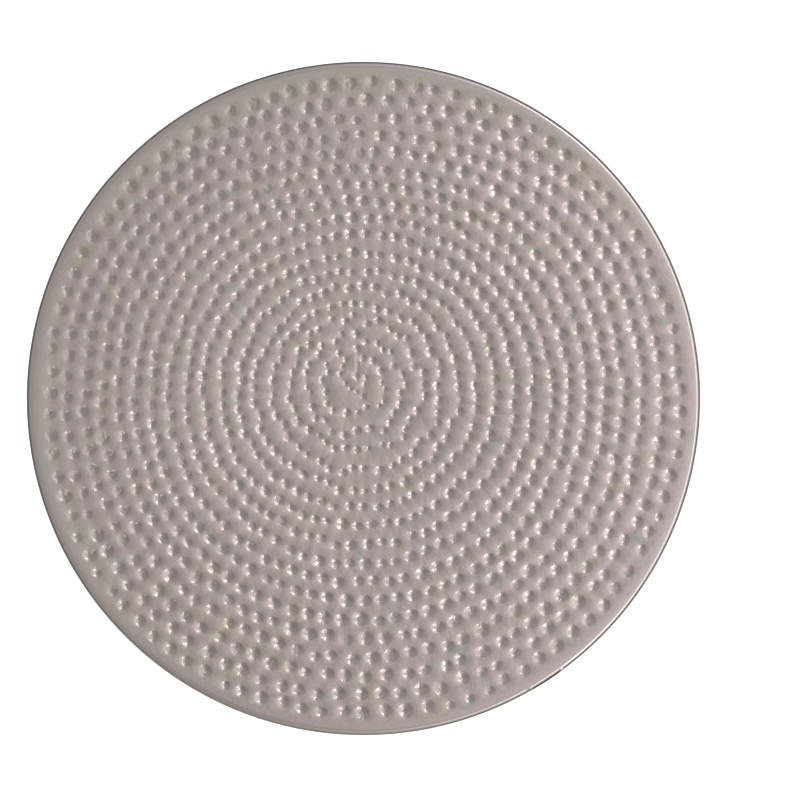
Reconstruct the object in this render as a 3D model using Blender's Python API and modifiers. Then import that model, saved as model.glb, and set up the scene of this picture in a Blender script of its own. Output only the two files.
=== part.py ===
"""Paten plate: a shallow dished disc of silver sheet with a fine wire soldered round its edge.

Metres, +Z up. The origin is the middle of the flat underside that the plate rests on.
The field of small raised pearls is fine surface work, so the disc here is the smooth blank
that they are punched into.
"""

import math

import bpy

# Driving dimensions
PLATE_DIAMETER = 0.150
SHEET_THICKNESS = 0.0008
WIRE_DIAMETER = 0.0009
SOLDER_GAP = 0.0003

# The dish: flat in the middle, a very shallow bowl outside that, and a plain border turned up
FLAT_RADIUS = 0.035
FIELD_RADIUS = 0.072
FIELD_EDGE_SLOPE = math.radians(4.5)
BORDER_EDGE_SLOPE = math.radians(15)

# The edge wire: how far its middle stands above the sheet's, and the joint between its ends
WIRE_LIFT = 0.00015
JOINT_ANGLE = math.radians(-57)
JOINT_SPAN = math.radians(6)
JOINT_SWELL = 1.1
JOINT_END_SCALE = 0.85

# Fineness of the faceted shapes
SEGMENTS = 120
FIELD_RINGS = 6
BORDER_RINGS = 3
WIRE_BEVEL_RESOLUTION = 2
JOINT_POINTS = 7
SCREW_MERGE = 0.00005

WIRE_RADIUS = WIRE_DIAMETER / 2
WIRE_PATH_RADIUS = PLATE_DIAMETER / 2 - WIRE_RADIUS
DISC_RADIUS = PLATE_DIAMETER / 2 - WIRE_DIAMETER - SOLDER_GAP


def clear_scene():
    for thing in list(bpy.data.objects):
        bpy.data.objects.remove(thing, do_unlink=True)


def make_collection(name):
    collection = bpy.data.collections.new(name)
    bpy.context.scene.collection.children.link(collection)
    return collection


def make_metal(name, colour, roughness):
    material = bpy.data.materials.new(name)
    material.use_nodes = True
    shader = material.node_tree.nodes["Principled BSDF"]
    shader.inputs["Base Color"].default_value = (*colour, 1)
    shader.inputs["Metallic"].default_value = 1
    shader.inputs["Roughness"].default_value = roughness
    return material


def add_object(name, data, material, collection):
    data.materials.append(material)
    thing = bpy.data.objects.new(name, data)
    collection.objects.link(thing)
    return thing


def dish_slope(radius):
    """Tangent of the sheet's slope: nought in the middle, then growing evenly in field and border."""
    if radius <= FLAT_RADIUS:
        return 0.0
    field_end = math.tan(FIELD_EDGE_SLOPE)
    if radius <= FIELD_RADIUS:
        return field_end * (radius - FLAT_RADIUS) / (FIELD_RADIUS - FLAT_RADIUS)
    border_share = (radius - FIELD_RADIUS) / (DISC_RADIUS - FIELD_RADIUS)
    return field_end + (math.tan(BORDER_EDGE_SLOPE) - field_end) * border_share


def dish_rise(radius):
    """Height of the sheet's upper face above its height in the flat middle."""
    rise = 0.0
    field_reach = min(radius, FIELD_RADIUS)
    if field_reach > FLAT_RADIUS:
        rise += (field_reach - FLAT_RADIUS) * dish_slope(field_reach) / 2
    if radius > FIELD_RADIUS:
        mean_slope = (math.tan(FIELD_EDGE_SLOPE) + dish_slope(radius)) / 2
        rise += (radius - FIELD_RADIUS) * mean_slope
    return rise


def profile_radii():
    field_step = (FIELD_RADIUS - FLAT_RADIUS) / FIELD_RINGS
    border_step = (DISC_RADIUS - FIELD_RADIUS) / BORDER_RINGS
    field = [FLAT_RADIUS + field_step * i for i in range(FIELD_RINGS)]
    border = [FIELD_RADIUS + border_step * i for i in range(BORDER_RINGS + 1)]
    return [0.0, *field, *border]


def sheet_profile():
    """Cross-section from the axis out over the upper face, down the edge and back below."""
    upper = []
    lower = []
    for radius in profile_radii():
        height = SHEET_THICKNESS + dish_rise(radius)
        lean = math.atan(dish_slope(radius))
        upper.append((radius, 0, height))
        lower_radius = radius + SHEET_THICKNESS * math.sin(lean)
        lower.append((lower_radius, 0, height - SHEET_THICKNESS * math.cos(lean)))
    edge_radius, _, edge_height = upper[-1]
    square_edge = (edge_radius, 0, edge_height - SHEET_THICKNESS)
    return upper + [square_edge] + lower[-2::-1]


def add_plate_disc(material, collection):
    """The blank, spun from one round of sheet: its cross-section turned about the axis."""
    points = sheet_profile()
    edges = [(i, i + 1) for i in range(len(points) - 1)]
    mesh = bpy.data.meshes.new("plate_disc")
    mesh.from_pydata(points, edges, [])
    disc = add_object("plate_disc", mesh, material, collection)
    turn = disc.modifiers.new("turned", "SCREW")
    turn.axis = "Z"
    turn.steps = SEGMENTS
    turn.render_steps = SEGMENTS
    turn.use_merge_vertices = True
    turn.merge_threshold = SCREW_MERGE
    turn.use_smooth_shade = True
    return disc


def wire_height():
    """Height of the wire's middle: a little above the middle of the sheet's edge."""
    return dish_rise(DISC_RADIUS) + SHEET_THICKNESS / 2 + WIRE_LIFT


def arc_points(start, end, count):
    """Points on the circle that the wire's middle follows."""
    angles = [start + (end - start) * i / (count - 1) for i in range(count)]
    height = wire_height()
    return [(WIRE_PATH_RADIUS * math.cos(a), WIRE_PATH_RADIUS * math.sin(a), height) for a in angles]


def add_wire(name, points, scales, material, collection):
    """A round wire through the points, with closed ends."""
    curve = bpy.data.curves.new(name, "CURVE")
    curve.dimensions = "3D"
    curve.twist_mode = "Z_UP"
    curve.bevel_depth = WIRE_RADIUS
    curve.bevel_resolution = WIRE_BEVEL_RESOLUTION
    curve.use_fill_caps = True
    spline = curve.splines.new("POLY")
    spline.points.add(len(points) - 1)
    for point, place, scale in zip(spline.points, points, scales):
        point.co = (*place, 1)
        point.radius = scale
    spline.use_smooth = True
    return add_object(name, curve, material, collection)


def add_edge_wire(material, collection):
    """The wire runs right round the edge, and its two ends leave room for the solder."""
    start = JOINT_ANGLE + JOINT_SPAN / 2
    end = JOINT_ANGLE - JOINT_SPAN / 2 + 2 * math.pi
    count = round((end - start) / (2 * math.pi) * SEGMENTS) + 1
    return add_wire("edge_wire", arc_points(start, end, count), [1] * count, material, collection)


def add_wire_joint(material, collection):
    """The slug of solder that closes the wire, a little fuller than it in the middle."""
    half_span = JOINT_SPAN / 2 - SOLDER_GAP / WIRE_PATH_RADIUS
    points = arc_points(JOINT_ANGLE - half_span, JOINT_ANGLE + half_span, JOINT_POINTS)
    shares = [math.sin(math.pi * i / (JOINT_POINTS - 1)) for i in range(JOINT_POINTS)]
    scales = [JOINT_END_SCALE + (JOINT_SWELL - JOINT_END_SCALE) * share for share in shares]
    return add_wire("wire_joint", points, scales, material, collection)


def main():
    clear_scene()
    plate = make_collection("paten_plate")
    satin_silver = make_metal("satin_silver", (0.60, 0.54, 0.52), 0.34)
    burnished_silver = make_metal("burnished_silver", (0.68, 0.63, 0.61), 0.22)
    silver_solder = make_metal("silver_solder", (0.38, 0.37, 0.35), 0.45)
    add_plate_disc(satin_silver, plate)
    add_edge_wire(burnished_silver, plate)
    add_wire_joint(silver_solder, plate)


main()
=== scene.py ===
# %% [markdown]
# # A hammered paten plate
# A paten is the small plate that carries the bread in a church service. This one is a single round of
# silver sheet, 150 mm across and 0.8 mm thick. A silversmith has punched about a thousand small
# pearls up from the back in rings, dished the sheet very slightly, turned its plain border up, and
# soldered a fine wire round the edge to stiffen it. The lesson makes the same pieces in the same order:
# the pearled sheet with Geometry Nodes, then the wire, its solder, the metals, the light and the camera.

# %% The frame that everything is built on
import math

import bmesh
import bpy
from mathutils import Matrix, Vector


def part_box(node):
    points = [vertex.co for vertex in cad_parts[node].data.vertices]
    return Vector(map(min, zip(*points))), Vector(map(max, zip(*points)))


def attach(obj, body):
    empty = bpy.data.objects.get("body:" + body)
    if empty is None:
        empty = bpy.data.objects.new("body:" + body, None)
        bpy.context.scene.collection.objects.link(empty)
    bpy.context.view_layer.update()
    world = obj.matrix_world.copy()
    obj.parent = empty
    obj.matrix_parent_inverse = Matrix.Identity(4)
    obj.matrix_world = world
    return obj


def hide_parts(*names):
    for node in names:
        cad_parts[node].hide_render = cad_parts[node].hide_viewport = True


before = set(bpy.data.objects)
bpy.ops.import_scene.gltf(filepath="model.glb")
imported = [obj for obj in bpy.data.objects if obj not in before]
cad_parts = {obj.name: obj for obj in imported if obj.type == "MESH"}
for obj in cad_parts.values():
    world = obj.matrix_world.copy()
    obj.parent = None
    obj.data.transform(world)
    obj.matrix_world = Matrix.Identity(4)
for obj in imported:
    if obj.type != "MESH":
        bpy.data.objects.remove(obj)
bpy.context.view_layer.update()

MM = 0.001

# %% [markdown]
# ## Measures
# The sizes that the design fixes are read from its pieces: the disc's radius, the wire's thickness and the
# height of its middle. What the design leaves open is stated here once, as a maker would note it: the
# gauge of the sheet, and the dish, which is flat in the middle and curves up evenly to a turned-up
# border. A slope is a rise over a run, so 4.5 degrees is about 8 in 100. The border ends at 13.5 degrees
# and curls up late, because that is how a border looks that was turned up after the dishing.

# %% The plate's measures
disc_low, disc_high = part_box("plate_disc")
wire_low, wire_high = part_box("edge_wire")
joint_low, joint_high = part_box("wire_joint")

PLATE_RADIUS = wire_high.x
DISC_RADIUS = disc_high.x
WIRE_RADIUS = (wire_high.z - wire_low.z) / 2
WIRE_PATH_RADIUS = PLATE_RADIUS - WIRE_RADIUS
WIRE_HEIGHT = (wire_high.z + wire_low.z) / 2

SHEET_THICKNESS = 0.8 * MM
FLAT_RADIUS = 35 * MM
FIELD_RADIUS = 72 * MM
FIELD_SLOPE = math.tan(math.radians(4.5))
BORDER_SLOPE = math.tan(math.radians(13.5))

# How late the slope grows: 2 is evenly along the run, 3 is mostly at its end
FIELD_POWER = 2
BORDER_POWER = 3


def curved_rise(run, span, slope_in, slope_out, power):
    """The rise along a run whose slope grows from one value to another, late when the power is high."""
    return slope_in * run + (slope_out - slope_in) * span / power * (run / span) ** power


def dish_rise(radius):
    """How far the dished sheet stands above its flat middle at this distance from the axis."""
    field_run = max(min(radius, FIELD_RADIUS) - FLAT_RADIUS, 0)
    border_run = max(radius - FIELD_RADIUS, 0)
    field_rise = curved_rise(field_run, FIELD_RADIUS - FLAT_RADIUS, 0, FIELD_SLOPE, FIELD_POWER)
    border_rise = curved_rise(border_run, DISC_RADIUS - FIELD_RADIUS, FIELD_SLOPE, BORDER_SLOPE, BORDER_POWER)
    return field_rise + border_rise


print(f"the sheet rises {dish_rise(DISC_RADIUS) / MM:.2f} mm from its middle to its edge")

# %% [markdown]
# ## Helpers for nodes
# Geometry trees and materials are both made of nodes with settings, values and links. One small
# function adds a node, sets its properties, and fills its inputs: an input takes a plain value, another
# node's output, or a whole node, which stands for its first output that is in use. Six kinds of node
# come up again and again, so each has a short helper of its own, and a rule in a tree reads almost like
# a line of arithmetic.

# %% Adding a node


def add_node(tree, kind, inputs=None, **settings):
    """A new node with these settings, its inputs filled with values, outputs or whole nodes."""
    node = tree.nodes.new(kind)
    for name, value in settings.items():
        setattr(node, name, value)
    for key, value in (inputs or {}).items():
        if isinstance(value, bpy.types.Node):
            value = next(output for output in value.outputs if output.enabled)
        if isinstance(value, bpy.types.NodeSocket):
            tree.links.new(value, node.inputs[key])
        else:
            node.inputs[key].default_value = value
    return node


# %% The nodes that come up again and again


def maths(tree, operation, *values, **settings):
    """One step of arithmetic with plain numbers."""
    return add_node(tree, "ShaderNodeMath", dict(enumerate(values)), operation=operation, **settings)


def vector_maths(tree, operation, first, second=None):
    """One step with vectors; a length, a distance or a dot product comes out as a plain number."""
    inputs = {0: first}
    if second is not None:
        inputs["Scale" if operation == "SCALE" else 1] = second
    node = add_node(tree, "ShaderNodeVectorMath", inputs, operation=operation)
    return node.outputs["Value" if operation in ("LENGTH", "DISTANCE", "DOT_PRODUCT") else "Vector"]


def remap(tree, value, source, target=(0, 1), smooth=False):
    """Lays one range over another and holds what is past its ends; smooth rounds off both ends."""
    inputs = {"Value": value, "From Min": source[0], "From Max": source[1],
              "To Min": target[0], "To Max": target[1]}
    return add_node(tree, "ShaderNodeMapRange", inputs,
                    interpolation_type="SMOOTHSTEP" if smooth else "LINEAR")


def noise(tree, place, size, detail):
    """A soft noise with lumps of about this size, and finer ones on them as the detail grows."""
    return add_node(tree, "ShaderNodeTexNoise", {"Vector": place, "Scale": 1 / size, "Detail": detail})


def blend(tree, share, first, second):
    """A colour between two colours."""
    return add_node(tree, "ShaderNodeMix", {"Factor": share, "A": first, "B": second}, data_type="RGBA")


def random_number(tree, low, high, seed, drawn_for=None):
    """A number drawn for each element, or for each value of what it is drawn for."""
    inputs = {2: low, 3: high, "Seed": seed}
    if drawn_for is not None:
        inputs["ID"] = drawn_for
    return add_node(tree, "FunctionNodeRandomValue", inputs).outputs[1]


# A place times this is the place seen in plan, with its height left out
IN_PLAN = (1, 1, 0)
print("helpers for nodes:", [helper.__name__ for helper in (
    add_node, maths, vector_maths, remap, noise, blend, random_number)])

# %% [markdown]
# ## Where the pearls go
# The smith starts in the middle and works outwards ring by ring, judging each distance by eye: the rings
# keep about 4 mm apart, and the pearls in a ring stand 2.3 mm apart near the middle and 4.7 mm apart
# outside, because the punch is changed for a fuller one. So a ring's number gives its radius, and its
# radius gives how many pearls fit on it. Duplicate Elements makes that many points of one point for
# each ring, and its index gives the angle. The middle of the first rings lies a few millimetres off the
# plate's own middle, because the work crept over as it grew. Small random errors in both directions,
# larger in the middle, and a slow waver that neighbouring rings share, make it look struck by hand. The
# pearls could also be copied round with a loop, but a tree lets every number be changed and seen at once.

# %% A geometry tree with named inputs


def new_tree(name, sockets):
    """A geometry tree with these (name, kind, default) inputs after its Geometry."""
    tree = bpy.data.node_groups.new(name, "GeometryNodeTree")
    tree.interface.new_socket("Geometry", in_out="INPUT", socket_type="NodeSocketGeometry")
    tree.interface.new_socket("Geometry", in_out="OUTPUT", socket_type="NodeSocketGeometry")
    for label, kind, default in sockets:
        socket = tree.interface.new_socket(label, in_out="INPUT", socket_type=kind)
        if default is not None:
            socket.default_value = default
    return tree


# A length and a plain factor are the same kind of input; two names show which one is meant
LENGTH = "NodeSocketFloat"
FACTOR = "NodeSocketFloat"
COUNT = "NodeSocketInt"

# Where the border begins, how high a pearl stands, and how far the first rings lie off the middle
BORDER_INNER = 72.4 * MM
PEARL_HEIGHT = 0.67 * MM
CREEP = (-2.2 * MM, 3.6 * MM, 0)
CREEP_END = 67 * MM
FIRST_RING = 2.9 * MM
RING_PITCH = 3.96 * MM
RING_COUNT = 18

# A pearl takes just under half the gap to its neighbour, stays off the border, and is never a mere dot
GAP_SHARE = 0.492
RIM_CLEARANCE = 0.1 * MM
SMALLEST_RADIUS = 0.6 * MM

# The side that was furthest from the smith's hand: the blows were softer there. Towards it the sheet's
# edge is greyer and the painted shade on the wire is darker
FAR_SIDE = (-0.8, 0.6, 0)

points_tree = new_tree("pearl_places", [
    ("Ring count", COUNT, RING_COUNT),
    ("First ring", LENGTH, FIRST_RING),
    ("Ring pitch", LENGTH, RING_PITCH),
    ("Spacing in the middle", LENGTH, 2.0 * MM),
    ("Spacing growth", FACTOR, 0.038),
    ("Creep", "NodeSocketVector", CREEP),
    ("Creep ends at", LENGTH, CREEP_END),
    ("Error along the ring", FACTOR, 0.13),
    ("Error across the ring", LENGTH, 0.5 * MM),
    ("Looser in the middle", FACTOR, 2.7),
    ("Waver", LENGTH, 2.2 * MM),
    ("Pearl radius in the middle", LENGTH, 1.55 * MM),
    ("Pearl radius outside", LENGTH, 2.45 * MM),
    ("Pearl height", LENGTH, PEARL_HEIGHT),
    ("Softest blows", FACTOR, 0.66),
    ("Field edge", LENGTH, BORDER_INNER),
    ("Seed", COUNT, 7),
])


def build_pearl_places(tree):
    """Makes one point for each pearl, which carries its radius, its height and its angle."""
    given = tree.nodes.new("NodeGroupInput").outputs
    index = add_node(tree, "GeometryNodeInputIndex")
    start = add_node(tree, "GeometryNodePoints", {"Count": given["Ring count"]})

    # One point for each ring, which carries the ring's radius and number of pearls
    steps = maths(tree, "MULTIPLY", given["Ring pitch"], index)
    ring_radius = maths(tree, "ADD", given["First ring"], steps)
    growth = maths(tree, "MULTIPLY", given["Spacing growth"], ring_radius)
    spacing = maths(tree, "ADD", given["Spacing in the middle"], growth)
    turns = maths(tree, "MULTIPLY", ring_radius, math.tau)
    fitting = maths(tree, "DIVIDE", turns, spacing)
    pearls = maths(tree, "ROUND", fitting)
    rings = start.outputs[0]
    for label, value in (("ring_radius", ring_radius), ("ring_pearls", pearls), ("ring_number", index)):
        rings = add_node(tree, "GeometryNodeStoreNamedAttribute",
                         {"Geometry": rings, "Name": label, "Value": value}, domain="POINT").outputs[0]

    carried = {label: add_node(tree, "GeometryNodeInputNamedAttribute", {"Name": label})
               for label in ("ring_radius", "ring_pearls", "ring_number")}
    struck = add_node(tree, "GeometryNodeDuplicateElements",
                      {"Geometry": rings, "Amount": carried["ring_pearls"]}, domain="POINT")

    # The angle: the pearl's turn in its ring, a different start for each ring, and an error
    ring_start = random_number(tree, 0, 1, given["Seed"], carried["ring_number"])
    seed_along = maths(tree, "ADD", given["Seed"], 1)
    along = random_number(tree, -1, 1, seed_along, index)
    loose = remap(tree, carried["ring_radius"], (5 * MM, 30 * MM), (given["Looser in the middle"], 1))
    along = maths(tree, "MULTIPLY", along, loose)
    along_error = maths(tree, "MULTIPLY", along, given["Error along the ring"])
    turn = maths(tree, "ADD", struck.outputs["Duplicate Index"], ring_start)
    turn = maths(tree, "ADD", turn, along_error)
    turn = maths(tree, "DIVIDE", turn, carried["ring_pearls"])
    angle = maths(tree, "MULTIPLY", turn, math.tau)

    # The distance from the middle, with its own error
    seed_across = maths(tree, "ADD", given["Seed"], 2)
    across = random_number(tree, -1, 1, seed_across, index)
    across = maths(tree, "MULTIPLY", across, loose)
    across_error = maths(tree, "MULTIPLY", across, given["Error across the ring"])
    radius = maths(tree, "ADD", carried["ring_radius"], across_error)
    cosine = maths(tree, "COSINE", angle)
    sine = maths(tree, "SINE", angle)
    direction = add_node(tree, "ShaderNodeCombineXYZ", {0: cosine, 1: sine})
    place = vector_maths(tree, "SCALE", direction, radius)

    # The creep of the inner rings dies out towards the edge, and all rings share a slow waver
    creep_left = remap(tree, carried["ring_radius"], (0, given["Creep ends at"]), (1, 0))
    creep = vector_maths(tree, "SCALE", given["Creep"], creep_left)
    place = vector_maths(tree, "ADD", place, creep)
    slow = noise(tree, place, 26 * MM, 1)
    centred = vector_maths(tree, "SUBTRACT", slow.outputs["Color"], (0.5, 0.5, 0.5))
    waver = vector_maths(tree, "SCALE", centred, given["Waver"])
    place = vector_maths(tree, "ADD", place, waver)
    place = vector_maths(tree, "MULTIPLY", place, IN_PLAN)
    placed = add_node(tree, "GeometryNodeSetPosition", {"Geometry": struck, "Position": place})

    # The width of each pearl: fuller outside, a little uneven, and never into its neighbour or the border
    here = add_node(tree, "GeometryNodeInputPosition")
    nearest = add_node(tree, "GeometryNodeIndexOfNearest")
    neighbour = add_node(tree, "GeometryNodeFieldAtIndex", {"Value": here, "Index": nearest},
                         data_type="FLOAT_VECTOR", domain="POINT")
    gap = vector_maths(tree, "DISTANCE", here, neighbour)
    half_gap = maths(tree, "MULTIPLY", gap, GAP_SHARE)
    reach = vector_maths(tree, "LENGTH", here)
    room = maths(tree, "SUBTRACT", given["Field edge"], reach)
    room = maths(tree, "SUBTRACT", room, RIM_CLEARANCE)
    fuller = remap(tree, reach, (0, 50 * MM),
                   (given["Pearl radius in the middle"], given["Pearl radius outside"]))
    seed_size = maths(tree, "ADD", given["Seed"], 3)
    uneven = random_number(tree, 0.88, 1.06, seed_size, index)
    wanted = maths(tree, "MULTIPLY", fuller, uneven)
    radius = maths(tree, "MINIMUM", wanted, half_gap)
    radius = maths(tree, "MINIMUM", radius, room)
    radius = maths(tree, "MAXIMUM", radius, SMALLEST_RADIUS)

    # Its height goes with its width, a small one being steeper, with the blow, and with the plate's side
    share = maths(tree, "DIVIDE", radius, given["Pearl radius outside"])
    share = maths(tree, "POWER", share, 0.7)
    seed_height = maths(tree, "ADD", given["Seed"], 4)
    blow = random_number(tree, 0.8, 1.05, seed_height, index)
    height = maths(tree, "MULTIPLY", given["Pearl height"], share)
    height = maths(tree, "MULTIPLY", height, blow)
    far_side = vector_maths(tree, "DOT_PRODUCT", here, FAR_SIDE)
    softer = remap(tree, far_side, (10 * MM, 55 * MM), (1, given["Softest blows"]))
    height = maths(tree, "MULTIPLY", height, softer)
    sized = placed.outputs[0]
    for label, value in (("pearl_radius", radius), ("pearl_height", height), ("pearl_angle", angle)):
        sized = add_node(tree, "GeometryNodeStoreNamedAttribute",
                         {"Geometry": sized, "Name": label, "Value": value}, domain="POINT").outputs[0]
    add_node(tree, "NodeGroupOutput", {"Geometry": sized})


build_pearl_places(points_tree)
print("the tree that places the pearls has", len(points_tree.nodes), "nodes")

# %% [markdown]
# ## The punched face
# A pearl is one smooth swelling of the sheet, not a bead that is stuck on. So the face is made as one
# skin: every pearl is a small oval patch, and the ground between the patches is filled as a flat sheet
# with oval holes, whose rims are the patches' own rims. The patch is a cone of a few dozen faces, whose
# points are lifted to a round top that runs out into the ground without a crease. It is a little longer
# along its ring than across it, because the punch leans as the hand follows the ring. Fill Curve then
# lays triangles between the rims of the patches and the border's inner edge. The back of the sheet shows
# the same pearls as hollows, a little smaller, because the metal in between has its own thickness.

# %% One face of the sheet
side_tree = new_tree("punched_face", [
    ("Pearls", "NodeSocketGeometry", None),
    ("Level", LENGTH, 0.0),
    ("Radius share", FACTOR, 1.0),
    ("Height share", FACTOR, 1.0),
    ("Lopsidedness", LENGTH, 0.42 * MM),
    ("Patch sides", COUNT, 12),
    ("Patch rings", COUNT, 4),
    ("Flip", "NodeSocketBool", False),
])


# The pearl's outline: its height at distance s from the middle is (1 - s^PEARL_FALL)^PEARL_SKIRT
PEARL_FALL = 2.5
PEARL_SKIRT = 1.7


def build_punched_face(tree):
    """Makes one side of the field: a patch on each pearl's point, and the ground between them."""
    given = tree.nodes.new("NodeGroupInput").outputs

    # The patch: a cone of radius 1 whose points are lifted to the pearl's outline
    cone = add_node(tree, "GeometryNodeMeshCone",
                    {"Vertices": given["Patch sides"], "Side Segments": given["Patch rings"],
                     "Radius Top": 0, "Radius Bottom": 1, "Depth": 1}, fill_type="NONE")
    here = add_node(tree, "GeometryNodeInputPosition")
    flat = vector_maths(tree, "MULTIPLY", here, IN_PLAN)
    squared = vector_maths(tree, "DOT_PRODUCT", flat, flat)
    fall = maths(tree, "POWER", squared, PEARL_FALL / 2)
    left = maths(tree, "SUBTRACT", 1, fall, use_clamp=True)
    lift = maths(tree, "POWER", left, PEARL_SKIRT)
    up = add_node(tree, "ShaderNodeCombineXYZ", {2: lift})
    domed = vector_maths(tree, "ADD", flat, up)
    patch = add_node(tree, "GeometryNodeStoreNamedAttribute",
                     {"Geometry": cone, "Name": "raised", "Value": lift}, domain="POINT")
    patch = add_node(tree, "GeometryNodeSetPosition", {"Geometry": patch, "Position": domed})

    # One patch on every pearl's point, at its size and turned to its place in the ring
    carried = {label: add_node(tree, "GeometryNodeInputNamedAttribute", {"Name": label})
               for label in ("pearl_radius", "pearl_height", "pearl_angle")}
    width = maths(tree, "MULTIPLY", carried["pearl_radius"], given["Radius share"])
    height = maths(tree, "MULTIPLY", carried["pearl_height"], given["Height share"])
    narrow = add_node(tree, "FunctionNodeRandomValue", {0: (0.74, 0.86, 1), 1: (1, 1, 1), "Seed": 11},
                      data_type="FLOAT_VECTOR")
    parts = add_node(tree, "ShaderNodeSeparateXYZ", {0: narrow})
    narrowest = maths(tree, "MINIMUM", parts.outputs["X"], parts.outputs["Y"])
    lower = maths(tree, "MULTIPLY", height, narrowest)
    size = add_node(tree, "ShaderNodeCombineXYZ", {0: width, 1: width, 2: lower})
    size = vector_maths(tree, "MULTIPLY", size, narrow)
    skew = random_number(tree, -0.35, 0.35, 12)
    facing = maths(tree, "ADD", carried["pearl_angle"], skew)
    turn = add_node(tree, "ShaderNodeCombineXYZ", {2: facing})
    pearls = add_node(tree, "GeometryNodeInstanceOnPoints",
                      {"Points": given["Pearls"], "Instance": patch, "Rotation": turn, "Scale": size})
    pearls = add_node(tree, "GeometryNodeRealizeInstances", {"Geometry": pearls})

    # No two blows are alike: a small noise leaves each pearl a little lopsided, but not its rim
    bumps = noise(tree, here, 1.5 * MM, 0)
    bumps = maths(tree, "SUBTRACT", bumps, 0.5)
    carried_lift = add_node(tree, "GeometryNodeInputNamedAttribute", {"Name": "raised"})
    bumps = maths(tree, "MULTIPLY", bumps, carried_lift)
    bumps = maths(tree, "MULTIPLY", bumps, given["Lopsidedness"])
    bumps = add_node(tree, "ShaderNodeCombineXYZ", {2: bumps})
    pearls = add_node(tree, "GeometryNodeSetPosition", {"Geometry": pearls, "Offset": bumps})

    # The rims: open edges of the patches, and of the border at this level
    edge_faces = add_node(tree, "GeometryNodeInputMeshEdgeNeighbors")
    open_edge = add_node(tree, "FunctionNodeCompare", {2: edge_faces, 3: 1}, data_type="INT",
                         operation="EQUAL")
    pearl_rims = add_node(tree, "GeometryNodeMeshToCurve", {"Mesh": pearls, "Selection": open_edge})
    depth = add_node(tree, "ShaderNodeSeparateXYZ", {0: here})
    away = maths(tree, "SUBTRACT", depth.outputs["Z"], given["Level"])
    away = maths(tree, "ABSOLUTE", away)
    level = maths(tree, "LESS_THAN", away, SHEET_THICKNESS / 10)
    chosen = add_node(tree, "FunctionNodeBooleanMath", {0: open_edge, 1: level}, operation="AND")
    border_rim = add_node(tree, "GeometryNodeMeshToCurve",
                          {"Mesh": given["Geometry"], "Selection": chosen})
    rims = tree.nodes.new("GeometryNodeJoinGeometry")
    tree.links.new(pearl_rims.outputs[0], rims.inputs[0])
    tree.links.new(border_rim.outputs[0], rims.inputs[0])
    ground = add_node(tree, "GeometryNodeFillCurve", {"Curve": rims}, mode="TRIANGLES")

    face = tree.nodes.new("GeometryNodeJoinGeometry")
    tree.links.new(pearls.outputs[0], face.inputs[0])
    tree.links.new(ground.outputs[0], face.inputs[0])
    offset = add_node(tree, "ShaderNodeCombineXYZ", {2: given["Level"]})
    face = add_node(tree, "GeometryNodeSetPosition", {"Geometry": face, "Offset": offset})
    face = add_node(tree, "GeometryNodeFlipFaces", {"Mesh": face, "Selection": given["Flip"]})
    add_node(tree, "NodeGroupOutput", {"Geometry": face})


build_punched_face(side_tree)
print("the tree that makes one face has", len(side_tree.nodes), "nodes")

# %% [markdown]
# ## From flat sheet to dish
# The last tree puts the sheet together: the border that comes in, a face above and a face below, merged
# where their points meet. Then it dishes the whole sheet, as the smith does on a hollowed block, by
# lifting every point by the rise that its distance from the axis asks for. Punching also leaves each ring
# on a low ridge of its own, which is what the eye reads as rings, and the sheet a little uneven. Both
# faces of the sheet go up together, so it keeps its thickness. Lifting points beats a sculpted sheet
# here, because the rule is the same one that the design's own dish follows.

# %% The whole sheet
sheet_tree = new_tree("pearled_sheet", [
    ("Sheet thickness", LENGTH, SHEET_THICKNESS),
    ("Flat radius", LENGTH, FLAT_RADIUS),
    ("Field radius", LENGTH, FIELD_RADIUS),
    ("Edge radius", LENGTH, DISC_RADIUS),
    ("Field slope", FACTOR, FIELD_SLOPE),
    ("Border slope", FACTOR, BORDER_SLOPE),
    ("Pearl height", LENGTH, PEARL_HEIGHT),
    ("Ring ridge", LENGTH, 0.18 * MM),
    ("Unevenness", LENGTH, 0.07 * MM),
    ("Seed", COUNT, 7),
    ("Metal", "NodeSocketMaterial", None),
])


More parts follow.
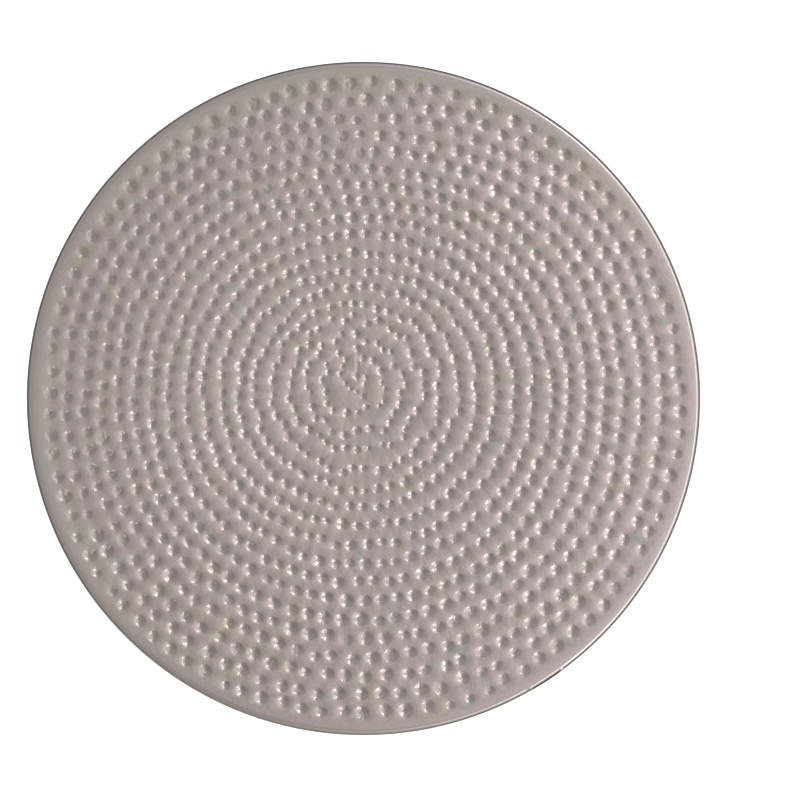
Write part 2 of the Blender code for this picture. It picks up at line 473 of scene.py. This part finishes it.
def build_pearled_sheet(tree):
    """Joins the border and both sides of the field, and dishes them."""
    given = tree.nodes.new("NodeGroupInput").outputs
    places = add_node(tree, "GeometryNodeGroup", node_tree=points_tree)
    tree.links.new(given["Seed"], places.inputs["Seed"])
    tree.links.new(given["Pearl height"], places.inputs["Pearl height"])
    sheet = tree.nodes.new("GeometryNodeJoinGeometry")
    tree.links.new(given["Geometry"], sheet.inputs[0])
    front = add_node(tree, "GeometryNodeGroup", node_tree=side_tree)
    back = add_node(tree, "GeometryNodeGroup", node_tree=side_tree)
    tree.links.new(given["Sheet thickness"], front.inputs["Level"])
    for face in (front, back):
        tree.links.new(given["Geometry"], face.inputs["Geometry"])
        tree.links.new(places.outputs[0], face.inputs["Pearls"])
        tree.links.new(face.outputs[0], sheet.inputs[0])
    for name, value in (("Radius share", 0.78), ("Height share", 0.85), ("Patch sides", 8),
                        ("Patch rings", 3), ("Flip", True)):
        back.inputs[name].default_value = value
    whole = add_node(tree, "GeometryNodeMergeByDistance", {"Geometry": sheet, "Distance": 0.001 * MM})

    # The dish: the same rule as dish_rise above
    here = add_node(tree, "GeometryNodeInputPosition")
    flat = vector_maths(tree, "MULTIPLY", here, IN_PLAN)
    reach = vector_maths(tree, "LENGTH", flat)
    rises = []
    for start, stop, slope_in, slope_out, power in (
        (given["Flat radius"], given["Field radius"], 0, given["Field slope"], FIELD_POWER),
        (given["Field radius"], given["Edge radius"], given["Field slope"], given["Border slope"],
         BORDER_POWER),
    ):
        span = maths(tree, "SUBTRACT", stop, start)
        run = maths(tree, "SUBTRACT", reach, start)
        share = maths(tree, "DIVIDE", run, span, use_clamp=True)
        run = maths(tree, "MULTIPLY", share, span)
        curl = maths(tree, "POWER", share, power)
        gain = maths(tree, "SUBTRACT", slope_out, slope_in)
        gain = maths(tree, "MULTIPLY", gain, span)
        gain = maths(tree, "DIVIDE", gain, power)
        straight = maths(tree, "MULTIPLY", run, slope_in)
        rises.append(maths(tree, "MULTIPLY_ADD", curl, gain, straight))
    rise = maths(tree, "ADD", rises[0], rises[1])

    # Hammering leaves each ring on a low ridge and the sheet a little uneven, up to the plain border
    field = remap(tree, reach, (given["Field radius"], 67 * MM), smooth=True)
    crept = remap(tree, reach, (0, CREEP_END), (1, 0))
    middle = vector_maths(tree, "SCALE", CREEP, crept)
    from_middle = vector_maths(tree, "DISTANCE", flat, middle)
    past_first = maths(tree, "SUBTRACT", from_middle, FIRST_RING)
    wave = maths(tree, "MULTIPLY", past_first, math.tau / RING_PITCH)
    wave = maths(tree, "COSINE", wave)
    wave = maths(tree, "MULTIPLY_ADD", wave, 0.5, 0.5)
    fading = remap(tree, reach, (20 * MM, 60 * MM), (1, 0.45))
    wave = maths(tree, "MULTIPLY", wave, fading)
    ridge = maths(tree, "MULTIPLY", wave, given["Ring ridge"])
    lumps = noise(tree, flat, 6 * MM, 1.5)
    lump = remap(tree, lumps, (0.32, 0.72), (0, given["Unevenness"]))
    lump = maths(tree, "ADD", lump, ridge)
    rise = maths(tree, "MULTIPLY_ADD", lump, field, rise)
    offset = add_node(tree, "ShaderNodeCombineXYZ", {2: rise})
    dished = add_node(tree, "GeometryNodeSetPosition", {"Geometry": whole, "Offset": offset})
    smooth = add_node(tree, "GeometryNodeSetShadeSmooth", {"Geometry": dished})
    real = add_node(tree, "GeometryNodeRealizeInstances", {"Geometry": smooth})
    metal = add_node(tree, "GeometryNodeSetMaterial", {"Geometry": real, "Material": given["Metal"]})
    add_node(tree, "NodeGroupOutput", {"Geometry": metal})


build_pearled_sheet(sheet_tree)
print("the tree that joins and dishes the sheet has", len(sheet_tree.nodes), "nodes")

# %% [markdown]
# ## The border
# Outside the pearls the sheet is plain. The border is turned, like a washer: a short profile runs out
# over its upper face, round the filed edge and back underneath, and is swept about the axis. It is made
# flat at first, because the tree dishes it together with the rest. Its two inner rims are where the
# tree lets in the punched faces.

# %% Turning a profile about the axis
AROUND = 240
FILED_EDGE = 0.06 * MM


def turn_profile(profile, steps, closed_profile=False):
    """A mesh made by turning (radius, height) points about the Z axis, faces outwards."""
    mesh = bmesh.new()
    rounds = []
    for step in range(steps):
        angle = math.tau * step / steps
        rounds.append([mesh.verts.new((radius * math.cos(angle), radius * math.sin(angle), height))
                       for radius, height in profile])
    count = len(profile)
    for step in range(steps):
        here, there = rounds[step], rounds[(step + 1) % steps]
        for i in range(count if closed_profile else count - 1):
            j = (i + 1) % count
            mesh.faces.new((here[i], here[j], there[j], there[i]))
    return mesh


def border_profile():
    """Open section: out over the top, round the filed edge and back below."""
    outer = DISC_RADIUS
    top = SHEET_THICKNESS
    run = outer - FILED_EDGE - BORDER_INNER
    radii = [BORDER_INNER + run * share for share in (0, 0.25, 0.5, 0.75, 0.96, 1)]
    upper = [(radius, top) for radius in radii]
    lower = [(radius, 0.0) for radius in reversed(radii)]
    return upper + [(outer, top - FILED_EDGE), (outer, FILED_EDGE)] + lower


def as_object(mesh, name):
    """Puts a finished mesh into the scene as an object of its own."""
    data = bpy.data.meshes.new(name)
    mesh.to_mesh(data)
    mesh.free()
    thing = bpy.data.objects.new(name, data)
    bpy.context.scene.collection.objects.link(thing)
    return thing


border = as_object(turn_profile(border_profile(), AROUND), "border")
print("the border has", len(border.data.polygons), "faces")

# %% [markdown]
# ## Materials
# The colours are written as a painter's hex values and turned to the linear numbers that light adds up
# in. A metal has no paint under its shine: its base colour is the tint of its reflections, so silver
# is nearly white and only a breath of tarnish or a warm room makes it pink, yellow or green.

# %% Colours


def linear(hex_colour):
    """An sRGB hex colour as linear red, green, blue and alpha."""
    parts = [int(hex_colour[i:i + 2], 16) / 255 for i in (1, 3, 5)]
    return (*[((p + 0.055) / 1.055) ** 2.4 if p > 0.04045 else p / 12.92 for p in parts], 1)


def new_material(name):
    """An empty material and its tree."""
    material = bpy.data.materials.new(name)
    material.use_nodes = True
    material.node_tree.nodes.clear()
    return material, material.node_tree


print(f"a middle grey, #808080, is {linear('#808080')[0]:.2f} in linear light")

# %% [markdown]
# ### Satin silver
# The sheet is sterling silver that has been punched, pickled white in acid and rubbed with fine pumice
# and a cloth. The pumice leaves the ground satin, so it shows the room only as soft light and shade. The
# cloth rides over the pearls and brightens their tops, so each one carries a small broken picture of the
# windows. The tree does the same: roughness falls from 0.54 to 0.29 where the sheet is raised. Real
# grit marks are a few hundredths of a millimetre, too fine to show, so they are drawn coarser, at 0.75
# mm, and break the glints. The cloth's lines, also drawn coarser, run slantwise over everything. Films
# of tarnish, a few millimetres wide, tint it towards yellow or green. The tint is also painted lighter
# towards the right, which is painted light, and greyer towards the far edge.

# %% Satin silver: its tint
satin_silver, tree = new_material("satin_silver")
place = add_node(tree, "ShaderNodeTexCoord").outputs["Object"]
raised = add_node(tree, "ShaderNodeAttribute", attribute_name="raised").outputs["Fac"]
flat = vector_maths(tree, "MULTIPLY", place, IN_PLAN)
reach = vector_maths(tree, "LENGTH", flat)
hue = noise(tree, place, 11 * MM, 1)
hue = remap(tree, hue, (0.42, 0.58))

# The metal's tint: painted lighter and rosier to the right, which is painted light, and greyer at the far
# edge
across = add_node(tree, "ShaderNodeSeparateXYZ", {0: flat}).outputs["X"]
across = remap(tree, across, (-62 * MM, 62 * MM))
clean = blend(tree, across, linear("#e1d2ce"), linear("#f2e1de"))
wander = maths(tree, "MULTIPLY_ADD", hue, 4 * MM, reach)
edge = remap(tree, wander, (69 * MM, 74 * MM))
towards_far = vector_maths(tree, "DOT_PRODUCT", flat, FAR_SIDE)
side = remap(tree, towards_far, (-50 * MM, 10 * MM))
edge = maths(tree, "MULTIPLY", edge, side)
clean = blend(tree, edge, clean, linear("#e4dad1"))

# Films of tarnish: cream in some places, greenish in others
clouds = noise(tree, place, 3.2 * MM, 2)
film = remap(tree, clouds, (0.56, 0.74))
tarnish = blend(tree, hue, linear("#e3dac6"), linear("#dadad1"))
tint = blend(tree, film, clean, tarnish)
print("the tint of satin silver takes", len(tree.nodes), "nodes")

# %% Satin silver: its skin
# Brighter tops, grit that is stronger on them, and the lines of the cloth
rough = remap(tree, raised, (0.02, 0.35), (0.54, 0.29), smooth=True)
grit = noise(tree, place, 0.75 * MM, 3)
blows = remap(tree, raised, (0, 0.3), (0.5, 1))
skin = add_node(tree, "ShaderNodeBump", {"Height": grit, "Strength": blows, "Distance": 0.13 * MM})
lay = add_node(tree, "ShaderNodeMapping", {"Vector": place, "Rotation": (0, 0, math.radians(-50)),
               "Scale": (1 / (5 * MM), 1 / (0.5 * MM), 1)})
lines = noise(tree, lay, 1, 2)
skin = add_node(tree, "ShaderNodeBump", {"Height": lines, "Strength": 0.8, "Distance": 0.04 * MM,
                "Normal": skin})

# A slip of the punch left one short low ridge near the middle
SLIP_MIDDLE = (-1.4 * MM, 7.6 * MM, 0)
SLIP_HALF_WIDTH = 0.7 * MM
SLIP_HALF_LENGTH = 5.5 * MM
slip = vector_maths(tree, "SUBTRACT", flat, SLIP_MIDDLE)
slip = vector_maths(tree, "MULTIPLY", slip, (1 / SLIP_HALF_WIDTH, 1 / SLIP_HALF_LENGTH, 1))
slip = vector_maths(tree, "LENGTH", slip)
slip = remap(tree, slip, (1, 0), smooth=True)
skin = add_node(tree, "ShaderNodeBump", {"Height": slip, "Strength": 1, "Distance": 0.09 * MM,
                "Normal": skin})
shader = add_node(tree, "ShaderNodeBsdfPrincipled", {"Base Color": tint, "Metallic": 1.0,
                  "Roughness": rough, "Normal": skin})
add_node(tree, "ShaderNodeOutputMaterial", {"Surface": shader})
print("satin silver has", len(tree.nodes), "nodes")

# %% [markdown]
# ### Burnished silver and silver solder
# The wire is the same silver, drawn through a die and rubbed with a steel burnisher, which leaves it
# nearly a mirror. The solder is silver with a little zinc and copper in it: a shade greyer, and rougher
# where it has flowed. Both keep their own bright tint on the plate's side. Outside, they are rougher and
# painted dark, which is painted shade; on the wire it is darkest on the far side. The painted shade
# reaches further in on the left and at the joint. One function makes both metals, because they differ
# only in their tints and roughness.

# %% Burnished silver and silver solder


def edge_metal(name, bright, dull_near, dull_far, roughness):
    """Metal that is polished on the plate's side, and rougher and painted dark as shade outside, further in
    at the joint.
    """
    material, tree = new_material(name)
    place = add_node(tree, "ShaderNodeTexCoord").outputs["Object"]
    flat = vector_maths(tree, "MULTIPLY", place, IN_PLAN)
    reach = vector_maths(tree, "LENGTH", flat)
    heat = add_node(tree, "ShaderNodeAttribute", attribute_name="heat").outputs["Fac"]
    heated = maths(tree, "MULTIPLY_ADD", heat, 0.36 * MM, reach)
    across = add_node(tree, "ShaderNodeSeparateXYZ", {0: flat}).outputs["X"]
    # Painted shade: the metal is coloured dark outside the wire's path, further in on the left and at the
    # joint
    unrubbed = remap(tree, across, (10 * MM, -45 * MM), (0, 0.16 * MM))
    worn = maths(tree, "ADD", heated, unrubbed)
    dull = remap(tree, worn, (WIRE_PATH_RADIUS + 0.06 * MM, WIRE_PATH_RADIUS + 0.2 * MM))
    towards_far = vector_maths(tree, "DOT_PRODUCT", flat, FAR_SIDE)
    side = remap(tree, towards_far, (-60 * MM, 60 * MM))
    dulled = blend(tree, side, linear(dull_near), linear(dull_far))
    tint = blend(tree, dull, linear(bright), dulled)
    grain = noise(tree, place, 0.7 * MM, 2)
    skin = add_node(tree, "ShaderNodeBump", {"Height": grain, "Strength": 0.5, "Distance": 0.02 * MM})
    rough = remap(tree, dull, (0, 1), (roughness, roughness + 0.15))
    shader = add_node(tree, "ShaderNodeBsdfPrincipled", {"Base Color": tint, "Metallic": 1.0,
                      "Roughness": rough, "Normal": skin})
    add_node(tree, "ShaderNodeOutputMaterial", {"Surface": shader})
    return material


# The two dark tints given to each metal are painted shade on its outer side
burnished_silver = edge_metal("burnished_silver", "#f4ece8", "#96928a", "#625e58", 0.22)
silver_solder = edge_metal("silver_solder", "#f0e4e0", "#4a4844", "#625e58", 0.3)
print("metals made:", satin_silver.name, burnished_silver.name, silver_solder.name)

# %% [markdown]
# ## The sheet becomes a plain mesh
# The tree runs as a modifier on the border. Its inputs are set by their identifiers, the evaluated
# result is copied to a plain mesh, and the modifier goes, so that what is left is just a sheet of metal
# with its attribute and its material. Counting open edges shows whether the skin is closed: a closed one
# has none, and then its volume is the volume of silver.

# %% The pearled sheet, made and turned into a plain mesh


def finish_with_tree(thing, tree, values):
    """Runs a tree on an object and gives it the result as its own plain mesh."""
    modifier = thing.modifiers.new(tree.name, "NODES")
    modifier.node_group = tree
    identifiers = {item.name: item.identifier for item in tree.interface.items_tree
                   if item.in_out == "INPUT"}
    for name, value in values.items():
        modifier[identifiers[name]] = value
    graph = bpy.context.evaluated_depsgraph_get()
    made = bpy.data.meshes.new_from_object(thing.evaluated_get(graph))
    thing.modifiers.remove(modifier)
    thing.data = made
    return thing


pearled_disc = finish_with_tree(border, sheet_tree, {"Metal": satin_silver})
pearled_disc.name = "pearled_disc"
triangles = sum(len(face.vertices) - 2 for face in pearled_disc.data.polygons)
check = bmesh.new()
check.from_mesh(pearled_disc.data)
loose = sum(1 for edge in check.edges if len(edge.link_faces) != 2)
print("the pearled disc has", triangles, "triangles and", loose, "open edges, volume",
      round(check.calc_volume() / MM ** 3), "mm3")
check.free()

# %% [markdown]
# ## The edge wire
# A round wire, 0.9 mm thick, is bent round the edge and soldered on. It could be a curve with a bevel;
# here each length is made directly, as rings of points joined by faces, because the joint needs its
# own thickness along the way and its own attribute.

# %% The edge wire
WIRE_SIDES = 12
JOINT_ANGLE = math.atan2(joint_low.y + joint_high.y, joint_low.x + joint_high.x)
JOINT_HALF_SPAN = math.radians(3)


def ring_wire(name, start, end, count, radius_at):
    """A round wire along the edge from one angle to another, closed at both ends."""
    mesh = bmesh.new()
    loops = []
    for step in range(count + 1):
        share = step / count
        angle = start + (end - start) * share
        loop = []
        for side in range(WIRE_SIDES):
            around = math.tau * side / WIRE_SIDES
            out = WIRE_PATH_RADIUS + radius_at(share) * math.cos(around)
            up = WIRE_HEIGHT + radius_at(share) * math.sin(around)
            loop.append(mesh.verts.new((out * math.cos(angle), out * math.sin(angle), up)))
        loops.append(loop)
    for here, there in zip(loops, loops[1:]):
        for i in range(WIRE_SIDES):
            j = (i + 1) % WIRE_SIDES
            mesh.faces.new((here[i], there[i], there[j], here[j]))
    mesh.faces.new(loops[0])
    mesh.faces.new(loops[-1][::-1])
    bmesh.ops.recalc_face_normals(mesh, faces=mesh.faces)
    for face in mesh.faces:
        face.smooth = len(face.verts) == 4
    return as_object(mesh, name)


wire = ring_wire("edge_wire_round", JOINT_ANGLE + JOINT_HALF_SPAN, JOINT_ANGLE - JOINT_HALF_SPAN + math.tau,
                 360, lambda share: WIRE_RADIUS)
wire.data.materials.append(burnished_silver)
print("the wire has", len(wire.data.polygons), "faces")

# %% [markdown]
# ## The joint
# The two ends of the wire meet at the lower right, where a slug of solder closes the 6 degrees that the
# design leaves between them. It swells a little. Over it the painted shade reaches further in: more and
# more along its length, with a sharp end. That reach is not set by place: each point carries an
# attribute for it that the metals read, so the wire's own length needs none.

# %% The joint


def mark_heat(piece, most):
    """Stores how far in the painted shade reaches on a piece: rising along the joint, ending sharply."""
    # The share runs from -1 to 1 along the joint: the mark grows over nine tenths of it and then ends
    heat = piece.data.attributes.new("heat", "FLOAT", "POINT")
    for point, mark in zip(piece.data.vertices, heat.data):
        share = (math.atan2(point.co.y, point.co.x) - JOINT_ANGLE) / JOINT_HALF_SPAN
        mark.value = most * max(min((share + 1) / 1.8, (1 - share) / 0.2, 1), 0)


slug = ring_wire("wire_joint_slug", JOINT_ANGLE - JOINT_HALF_SPAN, JOINT_ANGLE + JOINT_HALF_SPAN,
                 24, lambda share: WIRE_RADIUS * (0.98 + 0.1 * math.sin(math.pi * share)))
# The painted shade reaches furthest in over the slug
mark_heat(slug, 1)
slug.data.materials.append(silver_solder)
print(f"the joint lies at {math.degrees(JOINT_ANGLE):.0f} degrees")

# %% [markdown]
# ## The fillet of solder
# The design leaves 0.3 mm between the disc and the wire for the film of solder. Solder that has flowed
# draws up into a fillet: it runs on from the border at the border's own slope and climbs steeply to the
# wire's crown. That steep strip, a quarter of a millimetre wide, is the bright line that runs round the
# plate, because it alone faces the low window. It is turned from its profile like the border, and its
# faces stay flat across the profile, so that the line keeps crisp sides.

# %% The fillet


def fillet_profile():
    """Closed section of the solder: on at the border's own slope, up to the wire's crown, back below."""
    top = SHEET_THICKNESS + dish_rise(DISC_RADIUS)
    crown = WIRE_HEIGHT + WIRE_RADIUS
    # A hair's breadth above the border, so that the two faces never lie in one plane
    skin = 0.002 * MM
    outs = [out * MM for out in (-0.1, 0.1, 0.38)]
    start = [(DISC_RADIUS - 0.3 * MM, top - BORDER_SLOPE * 0.3 * MM - skin)]
    upper = [(DISC_RADIUS + out, top + BORDER_SLOPE * out + skin) for out in outs]
    crest = [(WIRE_PATH_RADIUS - 0.13 * MM, crown - 0.022 * MM),
             (WIRE_PATH_RADIUS - 0.02 * MM, crown - 0.002 * MM)]
    below = [(WIRE_PATH_RADIUS, WIRE_HEIGHT - WIRE_RADIUS / 2), (DISC_RADIUS + 0.3 * MM, top - 0.6 * MM),
             (DISC_RADIUS, top - 0.75 * MM), (DISC_RADIUS - 0.2 * MM, top - 0.2 * MM)]
    return start + upper + crest + below


fillet = as_object(turn_profile(fillet_profile(), AROUND * 2, closed_profile=True), "edge_fillet")
# Over the fillet the painted shade reaches in a little less
mark_heat(fillet, 0.6)
fillet.data.materials.append(silver_solder)
print("the fillet has", len(fillet.data.polygons), "faces")

# %% [markdown]
# ## Joining the frame
# A plate has one body, so every piece rides the root. The pearled sheet, the round wire and the slug
# take the place of the design's plain ones, and the fillet is extra. Each is listed with its metal,
# which it already carries.

# %% Riding on the frame
PIECES = (
    (pearled_disc, "plate_disc", "satin_silver"),
    (wire, "edge_wire", "burnished_silver"),
    (slug, "wire_joint", "silver_solder"),
    (fillet, None, "silver_solder"),
)
for piece, node, slot in PIECES:
    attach(piece, "root")
    if node:
        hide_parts(node)
print("riding on root:", [piece.name for piece, node, slot in PIECES])

# %% [markdown]
# ## The floor
# The plate lies on plain white card, so white that it shows no shadow: an evenly lit card gives that
# look, and a faint glow of its own keeps it even under any lamp.

# %% The floor
FLOOR_HALF_SIZE = 4
floor_mesh = bmesh.new()
bmesh.ops.create_grid(floor_mesh, x_segments=1, y_segments=1, size=FLOOR_HALF_SIZE)
floor = as_object(floor_mesh, "floor")
paper, tree = new_material("white_card")
shader = add_node(tree, "ShaderNodeBsdfPrincipled", {"Base Color": linear("#f3f3f3"), "Roughness": 0.8,
                  "Emission Color": linear("#ffffff"), "Emission Strength": 0.75})
add_node(tree, "ShaderNodeOutputMaterial", {"Surface": shader})
floor.data.materials.append(paper)
print("the card is", 2 * FLOOR_HALF_SIZE, "m wide")

# %% [markdown]
# ## The room
# Metal has no look of its own: it shows the room. This one is light on the left and dim overhead and
# to the right, so each pearl is light on its left flank and dark on its right one. The corner at the
# upper right is the darkest, and the camera's own stand is a small dark patch near the zenith. Low down,
# near the table, the walls are lighter again, from dim on the right to bright on the left: only the
# edge faces them. All this is a gradient over the directions of the world, not a picture.

# %% The room
scene = bpy.context.scene
scene.view_settings.view_transform = "Standard"
ROOM_LEFT = 0.655
ROOM_RIGHT = 0.315
ROOM_CORNER = 0.18
CAMERA_STAND = (0.17, 0.2, 0.965)
STAND_SHADE = 0.13
LOW_LEFT = 0.95
LOW_RIGHT = 0.33

world = bpy.data.worlds.new("room")
scene.world = world
world.use_nodes = True
tree = world.node_tree
tree.nodes.clear()
towards = add_node(tree, "ShaderNodeTexCoord").outputs["Generated"]
across = add_node(tree, "ShaderNodeSeparateXYZ", {0: towards})
wall = remap(tree, across.outputs["X"], (-0.02, -0.38), (ROOM_RIGHT, ROOM_LEFT), smooth=True)
corner = vector_maths(tree, "DOT_PRODUCT", towards, (0.7, 0.7, 0))
corner = remap(tree, corner, (0.42, 0.78), (0, ROOM_RIGHT - ROOM_CORNER))
wall = maths(tree, "SUBTRACT", wall, corner)
stand = vector_maths(tree, "DISTANCE", towards, CAMERA_STAND)
stand = remap(tree, stand, (0.2, 0.05), (0, STAND_SHADE), smooth=True)
wall = maths(tree, "SUBTRACT", wall, stand)
low_wall = remap(tree, across.outputs["X"], (0.2, -0.45), (LOW_RIGHT, LOW_LEFT))
low = remap(tree, across.outputs["Z"], (0.56, 0.46), smooth=True)
glow = add_node(tree, "ShaderNodeMix", {"Factor": low, "A": wall, "B": low_wall}, data_type="FLOAT")
air = add_node(tree, "ShaderNodeBackground", {"Color": (1, 1, 1, 1), "Strength": glow})
add_node(tree, "ShaderNodeOutputWorld", {"Surface": air})
print("the room's light runs from", ROOM_RIGHT, "on the right to", ROOM_LEFT, "on the left")

# %% [markdown]
# ## Windows and a lamp
# Two small windows, at the upper left and the lower left, make the pair of glints on each pearl. They
# stand about twice as far from straight above as a pearl's steepest slope, so only a pearl that leans
# towards them catches both: those on the right do, and those on the left mostly lose theirs. A long low
# window lights the strip of solder round the edge. A narrow lamp reaches only the left end of the plate.
# A lamp's power follows from how bright it should look and from its area.

# %% Windows and a lamp


def direction(bearing, zenith):
    """Unit vector for a bearing from +X and an angle from straight above, both in degrees."""
    turn, lean = math.radians(bearing), math.radians(zenith)
    return Vector((math.sin(lean) * math.cos(turn), math.sin(lean) * math.sin(turn), math.cos(lean)))


def hang_lamp(lamp, place, aim):
    """Puts a lamp in its place, turned to a point and hidden from the camera."""
    thing = bpy.data.objects.new(lamp.name, lamp)
    scene.collection.objects.link(thing)
    thing.location = place
    thing.rotation_euler = (aim - place).to_track_quat("-Z", "Y").to_euler()
    thing.visible_camera = False


def add_window(name, bearing, zenith, distance, width, height, radiance):
    """A flat lamp that faces the middle of the plate."""
    lamp = bpy.data.lights.new(name, "AREA")
    lamp.shape = "RECTANGLE"
    lamp.size = width
    lamp.size_y = height
    lamp.energy = radiance * width * height * math.pi
    hang_lamp(lamp, direction(bearing, zenith) * distance, Vector((0, 0, 0)))


add_window("upper_left_window", bearing=130, zenith=50, distance=0.9, width=0.18, height=0.15,
           radiance=5.0)
add_window("lower_left_window", bearing=232, zenith=50, distance=0.9, width=0.18, height=0.15,
           radiance=4.8)
add_window("low_left_window", bearing=172, zenith=70, distance=1.0, width=2.6, height=0.2,
           radiance=1.1)

left_end = Vector((-66 * MM, -6 * MM, 0))
lamp = bpy.data.lights.new("left_lamp", "SPOT")
lamp.spot_size = math.radians(5.5)
lamp.spot_blend = 1
lamp.shadow_soft_size = 35 * MM
lamp.energy = 1.2
hang_lamp(lamp, left_end + direction(57, 38) * 0.9, left_end)
print("lamps:", [light.name for light in bpy.data.lights])

# %% [markdown]
# ## The camera
# The plate is seen from straight above, a little off its middle, so that it sits to the left with white
# card round it. A long lens high above keeps the circle a true one. Its focal length follows from how wide
# the view must be at the height of the wire.

# %% The camera
CAMERA_HEIGHT = 1.6
VIEW_WIDTH = 178.13 * MM
SENSOR_WIDTH = 36
camera_data = bpy.data.cameras.new("camera")
camera = bpy.data.objects.new("camera", camera_data)
scene.collection.objects.link(camera)
camera.location = (8.14 * MM, -0.33 * MM, CAMERA_HEIGHT)
camera_data.sensor_width = SENSOR_WIDTH
camera_data.lens = SENSOR_WIDTH * (CAMERA_HEIGHT - WIRE_HEIGHT) / VIEW_WIDTH
scene.camera = camera
print(f"the lens is {camera_data.lens:.0f} mm")
